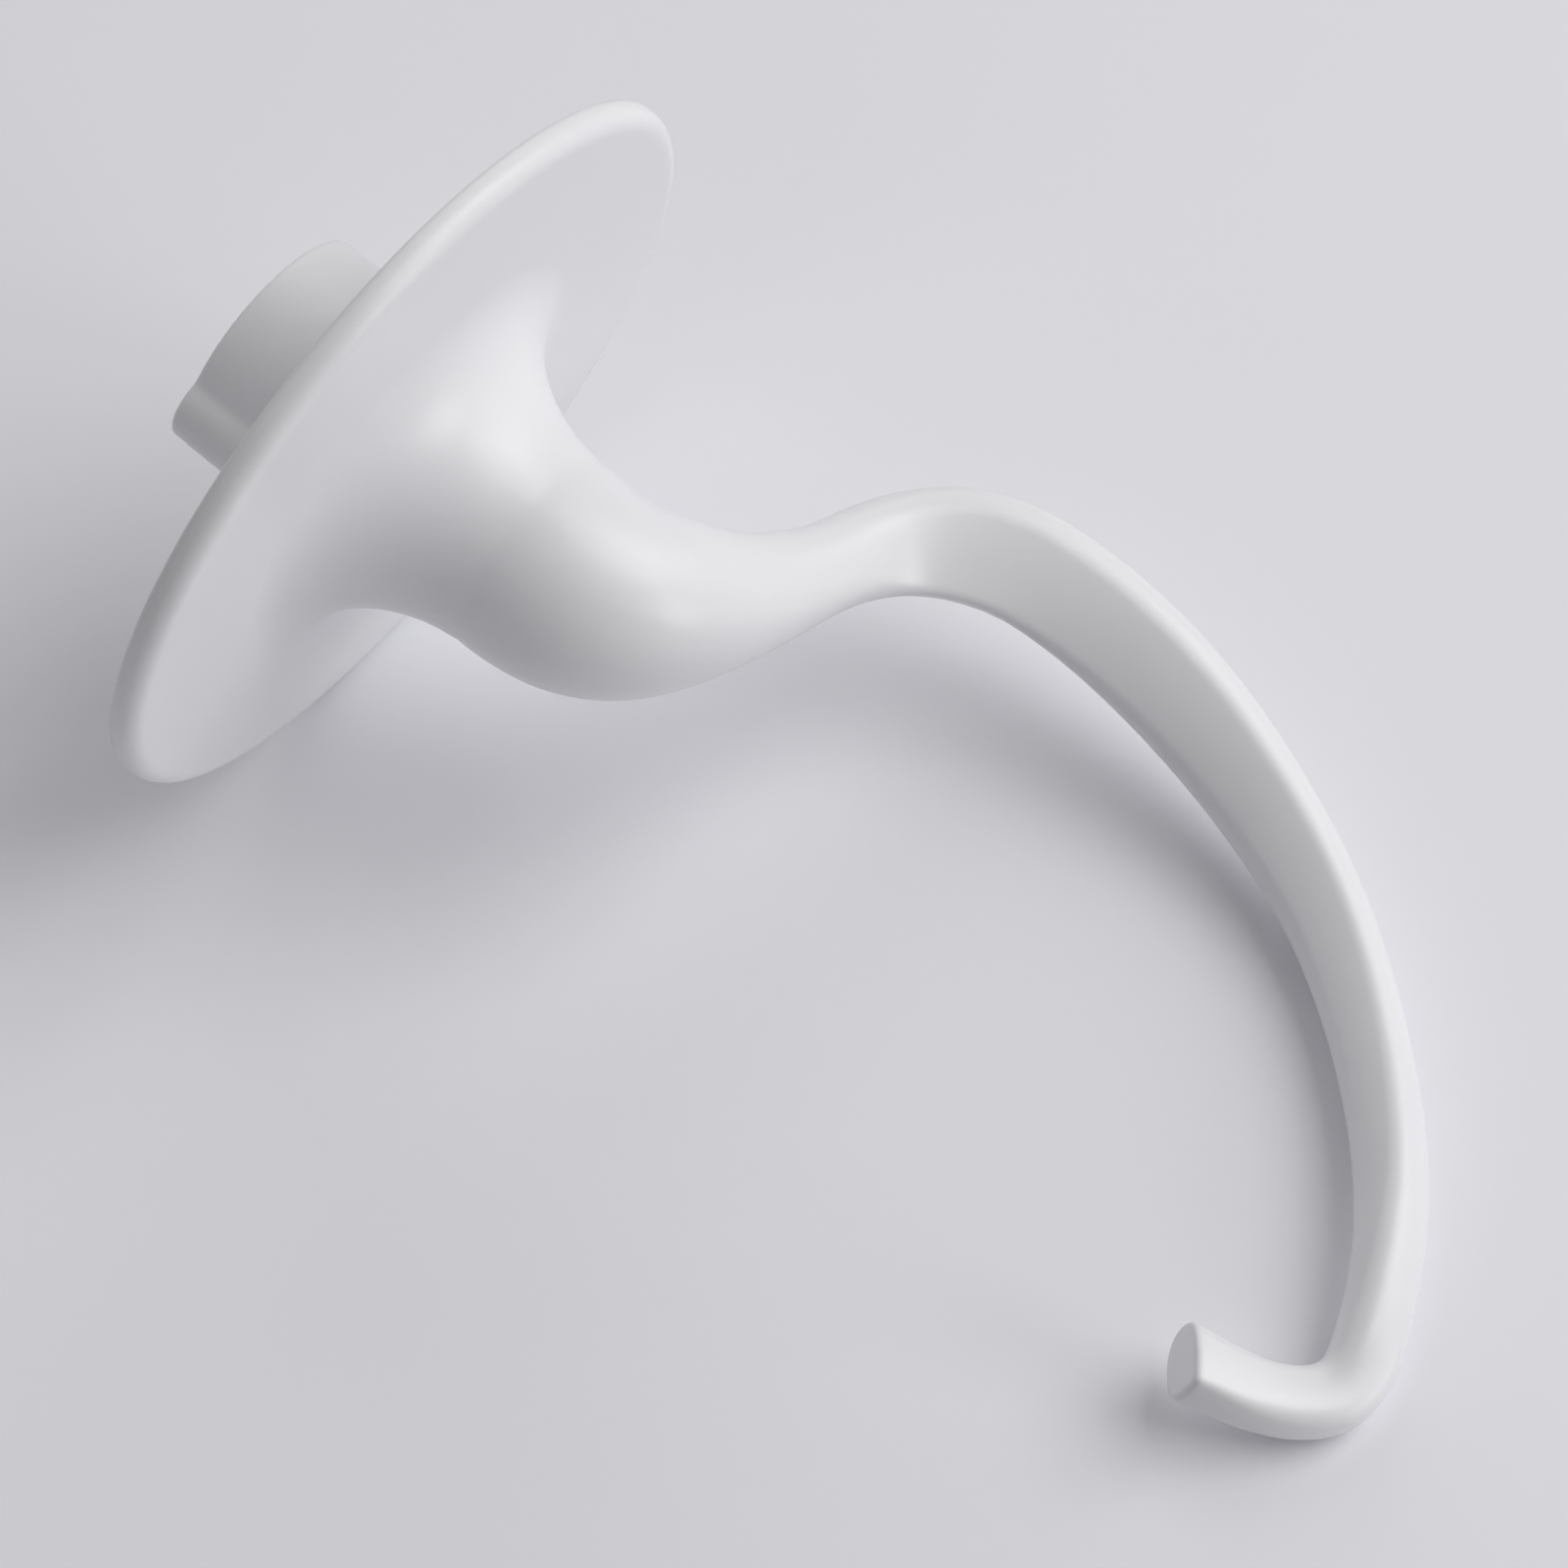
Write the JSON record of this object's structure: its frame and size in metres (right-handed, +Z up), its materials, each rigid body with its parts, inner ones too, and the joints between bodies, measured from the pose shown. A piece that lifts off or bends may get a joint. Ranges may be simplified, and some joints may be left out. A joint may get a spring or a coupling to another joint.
{
  "type": "stand mixer dough hook",
  "caption": "C-shaped cast dough hook with a round flange and a bayonet hub, which turns on a stand mixer's drive shaft to knead dough in the bowl",
  "frame": {"origin": "on the surface that the hook lies on, under the middle of its bounding box", "axes": "+Z is up as the hook lies at rest on the flange's rim, the back of the arm and the heel; +X runs level along the drive axis from the hub towards the foot; +Y runs towards the bulge of the arm"},
  "size_m": [0.1494, 0.0895, 0.0826],
  "materials": {
    "white_coating": "satin white coating over cast aluminium"
  },
  "bodies": {
    "root": {"dough_hook": "white_coating"}
  },
  "joints": []
}
